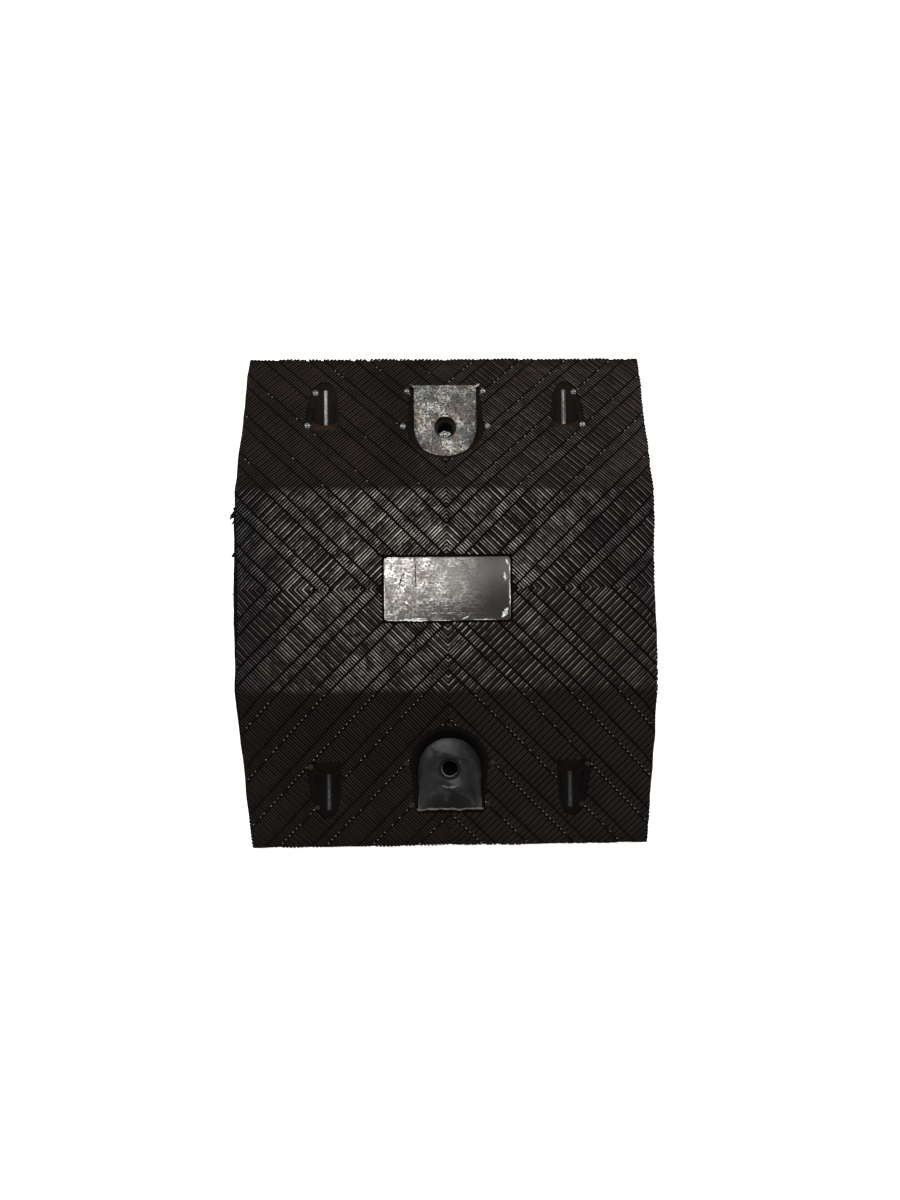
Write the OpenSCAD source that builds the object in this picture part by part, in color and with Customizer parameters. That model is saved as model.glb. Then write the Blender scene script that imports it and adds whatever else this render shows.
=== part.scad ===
// Bolt-down rubber speed bump, one module of a modular row.
// Y is the direction of travel, X runs across the lane, Z is up.
// The origin lies on the ground, under the middle of the module.

/* [Body] */
// Length of the module along the direction of travel
body_len = 500; // [430:1:620]
// Width of the module across the lane
body_w = 400; // [330:1:500]
// Height of the flat top above the ground
body_h = 50; // [42:1:60]
// Length of the flat top along the direction of travel
top_len = 190; // [155:1:230]
// Height of the thin edge at each end of the ramps
edge_h = 8; // [6:0.5:12]

/* [Tread] */
// Distance from one fine band to the next, measured along X or Y
band_pitch = 46.6; // [40:0.1:56]
// Width of a fine band, measured along X or Y
fine_band = 15; // [12:0.5:18]
// Width of the grooves that part the bands
groove_w = 1.4; // [1:0.1:2.5]
// Depth of those grooves
groove_depth = 1.6; // [1:0.1:2.5]

/* [Bolt seats] */
// Half the width of a seat, and the radius of its round end
seat_r = 32; // [26:0.5:38]
// Distance from the end of the module to the flat edge of a seat
seat_from_end = 38; // [32:1:46]
// Distance from the end of the module to the bolt's axis
bolt_from_end = 78; // [70:1:90]
// How far the wall round a seat leans out for each millimetre of its height
wall_lean = 0.35; // [0.1:0.01:0.5]
// Smooth rim that the tread leaves round a seat
seat_rim = 5; // [3:0.5:8]

/* [Seat plates] */
// Thickness of the steel plate in a seat
plate_t = 4; // [3:0.5:6]
// Gap all round the plate
plate_gap = 0.5; // [0.3:0.1:1]
// Radius of the hole in the plate
plate_hole_r = 11; // [10:0.1:11.5]

/* [Bolt sleeves] */
// Radius of the bolt's bore
bore_r = 8; // [6.5:0.1:9]
// Wall of the sleeve
sleeve_wall = 4.5; // [4:0.1:6]

/* [Centre panel] */
// Length of the panel across the lane
panel_len = 120; // [100:1:144]
// Width of the panel along the direction of travel
panel_w = 61; // [50:1:73]
// Thickness of the panel
panel_t = 4; // [3:0.5:6]
// Radius of the panel's corners
panel_corner_r = 4; // [2:0.5:8]
// Gap all round the panel
panel_gap = 1.2; // [0.6:0.1:2]
// How far the panel lies below the flat top
panel_drop = 0.4; // [0:0.1:1]

/* [Reflector scoops] */
// Distance of the scoops from the middle of the module, across the lane
scoop_x = 120; // [105:1:140]
// Radius of a scoop
scoop_r = 13.3; // [11:0.1:16]
// Distance from the end of the module to the tip of a scoop
scoop_tip = 31.5; // [28:0.5:40]
// Length of a scoop's floor, from its tip to its end wall
scoop_floor = 43; // [38:0.5:54]
// Slope of a scoop's end wall
scoop_slope = 48; // [35:1:60]
// Smooth rim that the tread leaves round a scoop
scoop_rim = 6; // [3:0.5:10]
// Width of the reflector's slit in the end wall
slit_len = 6; // [5:0.5:10]
// Height of the slit
slit_h = 1; // [0.8:0.1:2]
// Depth of the slit
slit_depth = 5; // [3:0.5:8]

/* [Hidden] */
$fn = 64;

// Amount by which a cutter passes the face that it opens
over = 1;
ramp_len = (body_len - top_len) / 2;
ramp_rate = (body_h - edge_h) / ramp_len;
seat_z = ramp_z(seat_from_end);
plate_floor_z = seat_z - plate_t;
seat_edge_y = body_len / 2 - seat_from_end;
bolt_y = body_len / 2 - bolt_from_end;
sleeve_r = bore_r + sleeve_wall;
panel_top_z = body_h - panel_drop;
panel_floor_z = panel_top_z - panel_t;
scoop_z = ramp_z(scoop_tip);
scoop_wall_y = body_len / 2 - scoop_tip - scoop_floor;
rubber_black = [0.11, 0.10, 0.10];
worn_steel = [0.50, 0.49, 0.46];
bright_steel = [0.66, 0.66, 0.66];
panel_grey = [0.58, 0.56, 0.53];

// Height of a ramp at a distance from its end of the module
function ramp_z(from_end) = edge_h + ramp_rate * from_end;

// Side view of the module, lowered by drop
module side_view(drop) {
    polygon([[-body_len / 2, 0], [-body_len / 2, edge_h - drop],
             [-top_len / 2, body_h - drop], [top_len / 2, body_h - drop],
             [body_len / 2, edge_h - drop], [body_len / 2, 0]]);
}

// The side view carried across the whole width
module bump_shape(drop = 0) {
    rotate([90, 0, 90])
        translate([0, 0, -body_w / 2])
            linear_extrude(body_w) side_view(drop);
}

// The child as it is, and again at the other end of the module
module at_both_ends() {
    children();
    rotate([0, 0, 180]) children();
}

// The child mirrored into all four quarters of the plan
module in_each_quarter() {
    for (flip_x = [0, 1], flip_y = [0, 1])
        mirror([flip_x, 0, 0]) mirror([0, flip_y, 0]) children();
}

// Plan of a seat: a round end towards the middle and a flat outer edge
module seat_plan(margin = 0) {
    translate([0, bolt_y]) circle(seat_r + margin);
    translate([-seat_r - margin, bolt_y])
        square([2 * (seat_r + margin), seat_edge_y + margin - bolt_y]);
}

// Plan of the centre panel
module panel_plan(margin = 0) {
    corner_r = panel_corner_r + margin;
    corner_x = panel_len / 2 - panel_corner_r;
    corner_y = panel_w / 2 - panel_corner_r;
    for (side_x = [-1, 1], side_y = [-1, 1])
        translate([side_x * corner_x, side_y * corner_y]) circle(corner_r);
    square([panel_len + 2 * margin, 2 * corner_y], center = true);
    square([2 * corner_x, panel_w + 2 * margin], center = true);
}

// Grooves of one quarter, all at 45 degrees, on both sides of each fine band
module quarter_grooves() {
    lines_out = ceil((body_len + body_w) / 2 / band_pitch);
    intersection() {
        square([body_w / 2, body_len / 2]);
        for (line = [-lines_out : lines_out], edge = [-1, 1])
            translate([0, (line + 0.5) * band_pitch + edge * fine_band / 2])
                rotate(45)
                    translate([-over, -groove_w / 2])
                        square([body_len + body_w, groove_w]);
    }
}

// The plan of every groove, which stops at the smooth rims
module groove_plan() {
    difference() {
        in_each_quarter() quarter_grooves();
        panel_plan(panel_gap);
        at_both_ends() seat_surround();
        in_each_quarter() scoop_surround();
    }
}

// Smooth ground round a seat, out past the top of its leaning wall
module seat_surround() {
    seat_plan(seat_rim + (body_h - seat_z) * wall_lean);
}

// Smooth ground round a scoop
module scoop_surround() {
    wall_run = (body_h - scoop_z) / tan(scoop_slope);
    far_y = scoop_wall_y - wall_run;
    near_y = body_len / 2 - scoop_tip + scoop_rim;
    translate([scoop_x - scoop_r - scoop_rim, far_y])
        square([2 * (scoop_r + scoop_rim), near_y - far_y]);
}

// The grooves as a cutter that keeps to the top skin
module tread_cutter() {
    intersection() {
        linear_extrude(body_h + over) groove_plan();
        difference() {
            bump_shape();
            bump_shape(groove_depth);
        }
    }
}

// Hollow above and under one bolt seat, with its plate and its sleeve
module seat_cutter() {
    wall_h = body_h + over - seat_z;
    top_r = seat_r + wall_h * wall_lean;
    translate([0, bolt_y, seat_z]) cylinder(h = wall_h, r1 = seat_r, r2 = top_r);
    translate([0, seat_edge_y + over, seat_z])
        rotate([90, 0, 0])
            linear_extrude(seat_edge_y + over - bolt_y)
                polygon([[-seat_r, 0], [seat_r, 0], [top_r, wall_h], [-top_r, wall_h]]);
    translate([0, 0, plate_floor_z])
        linear_extrude(plate_t + over) seat_plan();
    translate([0, bolt_y, -over]) cylinder(h = plate_floor_z + 2 * over, r = sleeve_r);
}

// One scoop: a round trough with a sloping end wall and a slit in the wall
module scoop_cutter() {
    trough_len = scoop_floor + scoop_tip + body_h;
    axis_z = scoop_z + scoop_r;
    wall_rise = body_h + over - scoop_z;
    wall_run = wall_rise / tan(scoop_slope);
    translate([scoop_x, 0, 0]) {
        intersection() {
            union() {
                translate([0, body_len / 2, axis_z])
                    rotate([90, 0, 0]) cylinder(h = trough_len, r = scoop_r);
                translate([-scoop_r, body_len / 2 - trough_len, axis_z])
                    cube([2 * scoop_r, trough_len, body_h]);
            }
            rotate([90, 0, 90])
                translate([0, 0, -scoop_r - over])
                    linear_extrude(2 * (scoop_r + over))
                        polygon([[scoop_wall_y, scoop_z - over], [body_len / 2, scoop_z - over],
                                 [body_len / 2, body_h + over],
                                 [scoop_wall_y - wall_run, body_h + over],
                                 [scoop_wall_y, scoop_z]]);
        }
        translate([-slit_len / 2, scoop_wall_y - scoop_r / 2 - slit_depth, axis_z - scoop_r / 2])
            cube([slit_len, slit_depth + over, slit_h]);
    }
}

// The rubber moulding
module rubber_body() {
    color(rubber_black)
        difference() {
            bump_shape();
            tread_cutter();
            translate([0, 0, panel_floor_z])
                linear_extrude(body_h) panel_plan(panel_gap);
            at_both_ends() seat_cutter();
            in_each_quarter() scoop_cutter();
        }
}

// The blank panel in the middle of the flat top
module centre_panel() {
    color(panel_grey)
        translate([0, 0, panel_floor_z]) linear_extrude(panel_t) panel_plan();
}

// The D-shaped steel plate that spreads the load of one bolt
module seat_plate() {
    color(worn_steel)
        translate([0, 0, plate_floor_z])
            linear_extrude(plate_t)
                difference() {
                    seat_plan(-plate_gap);
                    translate([0, bolt_y]) circle(plate_hole_r);
                }
}

// The steel sleeve between the ground and the seat plate
module bolt_sleeve() {
    color(bright_steel)
        translate([0, bolt_y, 0])
            difference() {
                cylinder(h = plate_floor_z, r = sleeve_r);
                translate([0, 0, -over]) cylinder(h = plate_floor_z + 2 * over, r = bore_r);
            }
}

module seat_plate_front() { rotate([0, 0, 180]) seat_plate(); }
module seat_plate_rear() { seat_plate(); }
module bolt_sleeve_front() { rotate([0, 0, 180]) bolt_sleeve(); }
module bolt_sleeve_rear() { bolt_sleeve(); }

rubber_body();
centre_panel();
seat_plate_front();
seat_plate_rear();
bolt_sleeve_front();
bolt_sleeve_rear();
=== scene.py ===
"""Looks of a bolt-down rubber speed bump module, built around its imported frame.

Y is the direction of travel, X runs across the lane and Z is up, in metres.
"""

import logging
import math
from collections.abc import Callable, Iterable
from dataclasses import dataclass
from enum import Enum

import bmesh
import bpy
from mathutils import Matrix, Vector, noise


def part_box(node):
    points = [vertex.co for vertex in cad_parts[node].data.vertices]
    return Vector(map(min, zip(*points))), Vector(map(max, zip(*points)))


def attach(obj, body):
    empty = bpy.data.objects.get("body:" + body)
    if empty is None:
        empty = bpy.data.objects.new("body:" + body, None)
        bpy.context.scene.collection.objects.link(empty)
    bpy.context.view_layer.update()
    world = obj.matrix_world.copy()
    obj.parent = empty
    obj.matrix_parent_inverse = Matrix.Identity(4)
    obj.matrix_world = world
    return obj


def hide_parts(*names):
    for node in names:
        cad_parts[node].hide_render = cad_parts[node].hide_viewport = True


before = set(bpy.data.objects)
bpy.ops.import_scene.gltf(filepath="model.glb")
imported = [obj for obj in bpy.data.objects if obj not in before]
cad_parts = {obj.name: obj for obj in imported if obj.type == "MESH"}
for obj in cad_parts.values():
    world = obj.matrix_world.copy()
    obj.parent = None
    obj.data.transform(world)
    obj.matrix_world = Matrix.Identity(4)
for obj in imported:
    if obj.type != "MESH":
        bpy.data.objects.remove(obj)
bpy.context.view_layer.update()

LOG = logging.getLogger("speed_bump")
BODY = "root"
MM = 0.001
TINY = 1e-6
HALF_SQRT = math.sqrt(0.5)
ORIGIN = (0.0, 0.0, 0.0)

Colour = tuple[float, float, float]
Point = tuple[float, float, float]
Streak = tuple[float, float, float, float, float]
Placer = Callable[[float, float, float], Point]
Mesh = bmesh.types.BMesh
Vert = bmesh.types.BMVert
Edge = bmesh.types.BMEdge
Piece = bpy.types.Object
Node = bpy.types.Node
Socket = bpy.types.NodeSocket
Value = Socket | float | tuple[float, ...]


# ---------------------------------------------------------------- shared mesh work


def add_object(name: str, bm: Mesh, smooth_angle: float = 35.0) -> Piece:
    """Turns a bmesh into an object at the origin.

    Args:
        name: Name of the new object.
        bm: The mesh, which is freed.
        smooth_angle: Edges sharper than this many degrees stay sharp.

    Returns:
        The new object, linked to the scene.
    """
    bmesh.ops.recalc_face_normals(bm, faces=bm.faces[:])
    mesh = bpy.data.meshes.new(name)
    bm.to_mesh(mesh)
    bm.free()
    mesh.shade_smooth()
    mesh.set_sharp_from_angle(angle=math.radians(smooth_angle))
    obj = bpy.data.objects.new(name, mesh)
    bpy.context.scene.collection.objects.link(obj)
    return obj


def vertices(items: Iterable[object]) -> list[Vert]:
    """Picks the vertices out of an operator's result."""
    return [item for item in items if isinstance(item, Vert)]


def slice_at(bm: Mesh, point: Point, normal: Point, clear: bool = False) -> list[Edge]:
    """Cuts a mesh along a plane.

    Args:
        bm: The mesh to cut.
        point: A point on the plane.
        normal: The plane's normal.
        clear: Whether everything on the normal's side goes.

    Returns:
        The edges along the cut.
    """
    geom = bm.verts[:] + bm.edges[:] + bm.faces[:]
    cut = bmesh.ops.bisect_plane(
        bm, geom=geom, dist=1e-7, plane_co=point, plane_no=normal, clear_outer=clear
    )
    return [item for item in cut["geom_cut"] if isinstance(item, Edge)]


def clip(bm: Mesh, point: Point, outward: Point) -> None:
    """Cuts off everything on the outer side of a plane and closes the cut.

    Args:
        bm: The mesh to cut.
        point: A point on the plane.
        outward: The plane's normal, towards the side that goes.
    """
    rim = slice_at(bm, point, outward, clear=True)
    if rim:
        bmesh.ops.holes_fill(bm, edges=rim, sides=0)


def extrude_all(bm: Mesh, step: Point) -> list[Vert]:
    """Extrudes every face of a flat mesh into a closed solid.

    Args:
        bm: A mesh that is one flat region.
        step: How far and which way the region moves.

    Returns:
        The vertices of the moved end.
    """
    moved = bmesh.ops.extrude_face_region(bm, geom=bm.faces[:], use_keep_orig=True)
    end = vertices(moved["geom"])
    bmesh.ops.translate(bm, verts=end, vec=step)
    return end


def join_in(bm: Mesh, part: Mesh) -> None:
    """Adds one mesh to another and frees it.

    Args:
        bm: The mesh that grows.
        part: The mesh that is added.
    """
    mesh = bpy.data.meshes.new("part")
    part.to_mesh(mesh)
    part.free()
    bm.from_mesh(mesh)
    bpy.data.meshes.remove(mesh)


def round_edges(bm: Mesh, edges: list[Edge], width: float, segments: int) -> None:
    """Rounds some edges of a mesh."""
    bmesh.ops.bevel(
        bm, geom=edges, offset=width, segments=segments, profile=0.5, affect="EDGES", material=-1
    )


def tongue(segments: int, radius: float, reach: float) -> Mesh:
    """Makes a flat shape: half a disc before the X axis and a strip as wide behind it.

    Args:
        segments: Corners of the full circle.
        radius: Radius of the half disc.
        reach: Length of the strip along Y.

    Returns:
        The shape, in the XY plane.
    """
    bm = bmesh.new()
    bmesh.ops.create_circle(bm, cap_ends=True, segments=segments, radius=radius)
    clip(bm, ORIGIN, (0.0, 1.0, 0.0))
    flat = [edge for edge in bm.edges if all(abs(vert.co.y) < TINY for vert in edge.verts)]
    pulled = bmesh.ops.extrude_edge_only(bm, edges=flat)
    bmesh.ops.translate(bm, verts=vertices(pulled["geom"]), vec=(0.0, reach, 0.0))
    return bm


def cylinder(name: str, radius: float, depth: float, middle: Point) -> Piece:
    """Makes an upright cylinder.

    Args:
        name: Name of the object.
        radius: Its radius.
        depth: Its height.
        middle: Its middle.

    Returns:
        The cylinder.
    """
    bm = bmesh.new()
    spot = Matrix.Translation(middle)
    bmesh.ops.create_cone(
        bm, cap_ends=True, segments=64, radius1=radius, radius2=radius, depth=depth, matrix=spot
    )
    return add_object(name, bm)


def rounded_block(
    name: str, size: tuple[float, float], low_z: float, high_z: float, corner_r: float
) -> Piece:
    """Makes a block centred on the Z axis with round vertical edges.

    Args:
        name: Name of the object.
        size: Size along X and Y.
        low_z: Height of its underside.
        high_z: Height of its top.
        corner_r: Radius of its corners.

    Returns:
        The block.
    """
    bm = bmesh.new()
    shape = Matrix.Diagonal((*size, high_z - low_z, 1.0))
    spot = Matrix.Translation((0.0, 0.0, (low_z + high_z) / 2))
    bmesh.ops.create_cube(bm, size=1.0, matrix=spot @ shape)
    half = (high_z - low_z) / 2
    upright = [edge for edge in bm.edges if abs(edge.verts[0].co.z - edge.verts[1].co.z) > half]
    round_edges(bm, upright, corner_r, 8)
    return add_object(name, bm)


def apply_modifiers(obj: Piece) -> None:
    """Bakes an object's modifiers into its mesh.

    Args:
        obj: The object to bake.
    """
    graph = bpy.context.evaluated_depsgraph_get()
    mesh = bpy.data.meshes.new_from_object(obj.evaluated_get(graph))
    obj.modifiers.clear()
    old = obj.data
    mesh.name = obj.name
    obj.data = mesh
    bpy.data.meshes.remove(old)


def cut_away(obj: Piece, cutters: list[Piece]) -> None:
    """Subtracts solids from an object and removes them from the scene.

    Args:
        obj: The object that is cut.
        cutters: Closed solids to subtract.
    """
    for cutter in cutters:
        tool = obj.modifiers.new("cut", "BOOLEAN")
        tool.operation = "DIFFERENCE"
        tool.solver = "EXACT"
        tool.object = cutter
    apply_modifiers(obj)
    for cutter in cutters:
        bpy.data.meshes.remove(cutter.data)


def soften(obj: Piece, width: float, sharp: float = 38.0) -> None:
    """Rounds an object's sharp edges.

    Args:
        obj: The object to round.
        width: Width of the rounding.
        sharp: Edges sharper than this many degrees stay sharp afterwards.
    """
    bevel = obj.modifiers.new("soften", "BEVEL")
    bevel.width = width
    bevel.segments = 2
    bevel.profile = 0.5
    bevel.limit_method = "ANGLE"
    bevel.angle_limit = math.radians(32)
    bevel.use_clamp_overlap = True
    bevel.miter_outer = "MITER_ARC"
    apply_modifiers(obj)
    obj.data.shade_smooth()
    obj.data.set_sharp_from_angle(angle=math.radians(sharp))


def bent_bar(bm: Mesh, cuts: int, place: Placer) -> None:
    """Adds a bar that follows a rule of its own.

    Args:
        bm: The mesh that gets the bar.
        cuts: How many rings of vertices it has between its ends.
        place: Gives the place of a point from its share along the bar (0 to 1), its
            share across (-0.5 to 0.5) and its share of the height (0 to 1).
    """
    bar = bmesh.new()
    bmesh.ops.create_cube(bar, size=1.0, matrix=Matrix.Translation((0.5, 0.0, 0.5)))
    long_edges = [edge for edge in bar.edges if abs(edge.verts[0].co.x - edge.verts[1].co.x) > 0.5]
    bmesh.ops.subdivide_edges(bar, edges=long_edges, cuts=cuts)
    for vert in bar.verts:
        vert.co = Vector(place(*vert.co))
    join_in(bm, bar)


def wobble(share: float, rate: float, seed: float) -> float:
    """Gives a smooth uneven number from about -0.5 to 0.5 along a bar."""
    return noise.noise(Vector((share * rate, seed, 0.0)))


def hash01(*seeds: float) -> float:
    """Gives a steady pseudo-random number from 0 to 1 for its seeds."""
    value = math.sin(sum(seed * weight for seed, weight in zip(seeds, (127.1, 311.7, 74.7)))) * 43758.5453
    return value - math.floor(value)


def end_name(end: int) -> str:
    """Names an end of the module: 1 is the rear, -1 the front."""
    return "rear" if end > 0 else "front"


# ---------------------------------------------------------------- sizes from the frame


@dataclass(frozen=True)
class Layout:
    """Sizes and places of the module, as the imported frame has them."""

    half_w: float
    half_l: float
    top_z: float
    crease_y: float
    edge_z: float
    bolt_y: float
    seat_z: float
    seat_edge_y: float
    seat_r: float
    plate_bottom_z: float
    sleeve_r: float
    panel_half_len: float
    panel_half_w: float
    panel_top_z: float
    panel_bottom_z: float
    plate_gap: float = 0.5 * MM
    wall_lean: float = 0.35

    @classmethod
    def from_frame(cls) -> "Layout":
        """Reads the layout from the CAD nodes.

        Returns:
            The layout.
        """
        low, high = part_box("rubber_body")
        plate_low, plate_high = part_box("seat_plate_rear")
        sleeve_low, sleeve_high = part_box("bolt_sleeve_rear")
        panel_low, panel_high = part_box("centre_panel")
        points = [vert.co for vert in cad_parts["rubber_body"].data.vertices]
        near = 1e-5
        return cls(
            half_w=high[0],
            half_l=high[1],
            top_z=high[2],
            crease_y=max(abs(point.y) for point in points if point.z > high[2] - near),
            edge_z=max(point.z for point in points if abs(point.y) > high[1] - near),
            bolt_y=(sleeve_low[1] + sleeve_high[1]) / 2,
            seat_z=plate_high[2],
            seat_edge_y=plate_high[1] + cls.plate_gap,
            seat_r=plate_high[0] + cls.plate_gap,
            plate_bottom_z=plate_low[2],
            sleeve_r=sleeve_high[0],
            panel_half_len=panel_high[0],
            panel_half_w=panel_high[1],
            panel_top_z=panel_high[2],
            panel_bottom_z=panel_low[2],
        )

    @property
    def ramp_rate(self) -> float:
        """Rise of a ramp for each metre along Y."""
        return (self.top_z - self.edge_z) / (self.half_l - self.crease_y)

    def surface_z(self, y: float) -> float:
        """Height of the tread's crests at a distance from the middle."""
        return min(self.top_z, self.edge_z + (self.half_l - abs(y)) * self.ramp_rate)


@dataclass(frozen=True)
class Outline:
    """The uneven line that moulding and wear left round the module."""

    plan: Layout
    margin: float = 12 * MM
    left_swell: float = 2.6 * MM
    waves: tuple[tuple[float, float], ...] = ((17.0, 1.6 * MM), (60.0, 0.7 * MM), (190.0, 0.12 * MM))

    def move(self, vert: Vert) -> None:
        """Draws a vertex near the outline inwards unevenly; the left side swells a little.

        Args:
            vert: The vertex to move.
        """
        x, y = vert.co.x, vert.co.y
        swell = self.left_swell * (1.0 - (y / self.plan.half_l) ** 2)
        for axis, along, limit in ((0, y, self.plan.half_w), (1, x, self.plan.half_l)):
            here = vert.co[axis]
            near = max(0.0, (abs(here) - limit + self.margin) / self.margin)
            side = math.copysign(1.0, here)
            spots = [(size, Vector((along * rate, side * 5.3, axis * 3.1))) for rate, size in self.waves]
            pull = max(0.0, sum(size * (0.5 + noise.noise(spot)) for size, spot in spots))
            if axis == 0 and here < 0.0:
                pull -= swell
            vert.co[axis] = here - side * near * pull


@dataclass(frozen=True)
class Scoop:
    """Sizes of the four reflector scoops."""

    x: float = 120 * MM
    radius: float = 13.3 * MM
    tip: float = 31.5 * MM
    floor: float = 43 * MM
    slope: float = math.radians(48)
    slit_len: float = 6 * MM
    slit_h: float = 1 * MM
    slit_depth: float = 5 * MM
    rim_in: float = 1.3 * MM
    rim_out: float = 4.6 * MM
    rim_end: float = 0.8 * MM

    def tip_y(self, plan: Layout) -> float:
        """Distance of the tips from the middle of the module."""
        return plan.half_l - self.tip

    def floor_z(self, plan: Layout) -> float:
        """Height of the scoop's lowest line."""
        return plan.surface_z(self.tip_y(plan))

    def wall_y(self, plan: Layout) -> float:
        """Distance of the end wall's foot from the middle of the module."""
        return self.tip_y(plan) - self.floor


# ---------------------------------------------------------------- shader nodes


class Shader:
    """A material's node tree, with short calls for the nodes that the finishes use."""

    def __init__(self, tree: bpy.types.NodeTree) -> None:
        """Starts on an empty node tree."""
        self.tree = tree
        tree.nodes.clear()

    def add(self, kind: str, **values: object) -> Node:
        """Adds a node.

        Args:
            kind: The node's type name.
            **values: Properties to set on the node.

        Returns:
            The new node.
        """
        node = self.tree.nodes.new(kind)
        for name, value in values.items():
            setattr(node, name, value)
        return node

    def fill(self, node: Node, values: dict[str | int, Value]) -> None:
        """Sets a node's inputs or links them to other nodes.

        Args:
            node: The node.
            values: For an input's name or number its value or another node's output.
        """
        for name, value in values.items():
            if isinstance(value, Socket):
                self.tree.links.new(value, node.inputs[name])
            else:
                node.inputs[name].default_value = value

    def math(self, operation: str, *inputs: Value) -> Socket:
        """Adds a Math node.

        Args:
            operation: What the node does.
            *inputs: Numbers or sockets, in the node's order.

        Returns:
            The node's result.
        """
        node = self.add("ShaderNodeMath", operation=operation)
        self.fill(node, dict(enumerate(inputs)))
        return node.outputs[0]

    def times(self, first: Value, second: Value) -> Socket:
        """Multiplies two values."""
        return self.math("MULTIPLY", first, second)

    def scaled(self, value: Value, factor: Value, offset: Value) -> Socket:
        """Multiplies a value by a factor and adds an offset."""
        return self.math("MULTIPLY_ADD", value, factor, offset)

    def ramp(self, value: Value, low: Value, high: Value) -> Socket:
        """Maps a value smoothly to a share from 0 to 1.

        Args:
            value: The value to map.
            low: Where the share is 0.
            high: Where the share is 1.

        Returns:
            The share.
        """
        node = self.add("ShaderNodeMapRange", interpolation_type="SMOOTHSTEP")
        self.fill(node, {"Value": value, "From Min": low, "From Max": high})
        return node.outputs["Result"]

    def mix(self, factor: Value, first: Value, second: Value) -> Socket:
        """Mixes two colours.

        Args:
            factor: Share of the second colour.
            first: The first colour.
            second: The second colour.

        Returns:
            The mixed colour.
        """
        node = self.add("ShaderNodeMix", data_type="RGBA")
        colours = [value if isinstance(value, Socket) else (*value, 1.0) for value in (first, second)]
        self.fill(node, {0: factor, 6: colours[0], 7: colours[1]})
        return node.outputs[2]

    def place(self) -> Socket:
        """Returns the Object coordinates."""
        return self.add("ShaderNodeTexCoord").outputs["Object"]

    def axis(self, name: str) -> Socket:
        """Reads one of the Object coordinates.

        Args:
            name: X, Y or Z.

        Returns:
            The coordinate.
        """
        node = self.add("ShaderNodeSeparateXYZ")
        self.fill(node, {0: self.place()})
        return node.outputs[name]

    def noise(self, scale: Value, detail: float, seed: Value = 0.0, vector: Socket | None = None) -> Socket:
        """Adds a noise texture.

        Args:
            scale: How fine the noise is.
            detail: How many finer layers it has.
            seed: Makes it unlike other noises.
            vector: Coordinates to use in place of the Object coordinates.

        Returns:
            The noise's value.
        """
        node = self.add("ShaderNodeTexNoise", noise_dimensions="4D")
        self.fill(node, {"Scale": scale, "Detail": detail, "W": seed, "Vector": vector or self.place()})
        return node.outputs["Fac"]

    def stretched(self, scale: Point, turn: float) -> Socket:
        """Turns the Object coordinates about Z and stretches them.

        Args:
            scale: Factor for each axis.
            turn: The turn in radians.

        Returns:
            The new coordinates.
        """
        node = self.add("ShaderNodeMapping")
        self.fill(node, {"Rotation": (0.0, 0.0, turn), "Scale": scale, "Vector": self.place()})
        return node.outputs["Vector"]

    def bump(self, height: Value, depth: float) -> Socket:
        """Turns a height into a normal.

        Args:
            height: The height, from 0 to 1.
            depth: The real depth of a height of 1.

        Returns:
            The normal.
        """
        node = self.add("ShaderNodeBump")
        self.fill(node, {"Strength": 1.0, "Distance": depth, "Height": height})
        return node.outputs[0]

    def group(self, tree: bpy.types.NodeTree, **values: Value) -> bpy.types.bpy_prop_collection:
        """Places a node group with its own values.

        Args:
            tree: The group's tree.
            **values: Values for its inputs, named as the inputs are but without capitals.

        Returns:
            The group's outputs.
        """
        node = self.add("ShaderNodeGroup", node_tree=tree)
        self.fill(node, {name.capitalize(): value for name, value in values.items()})
        return node.outputs


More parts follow.
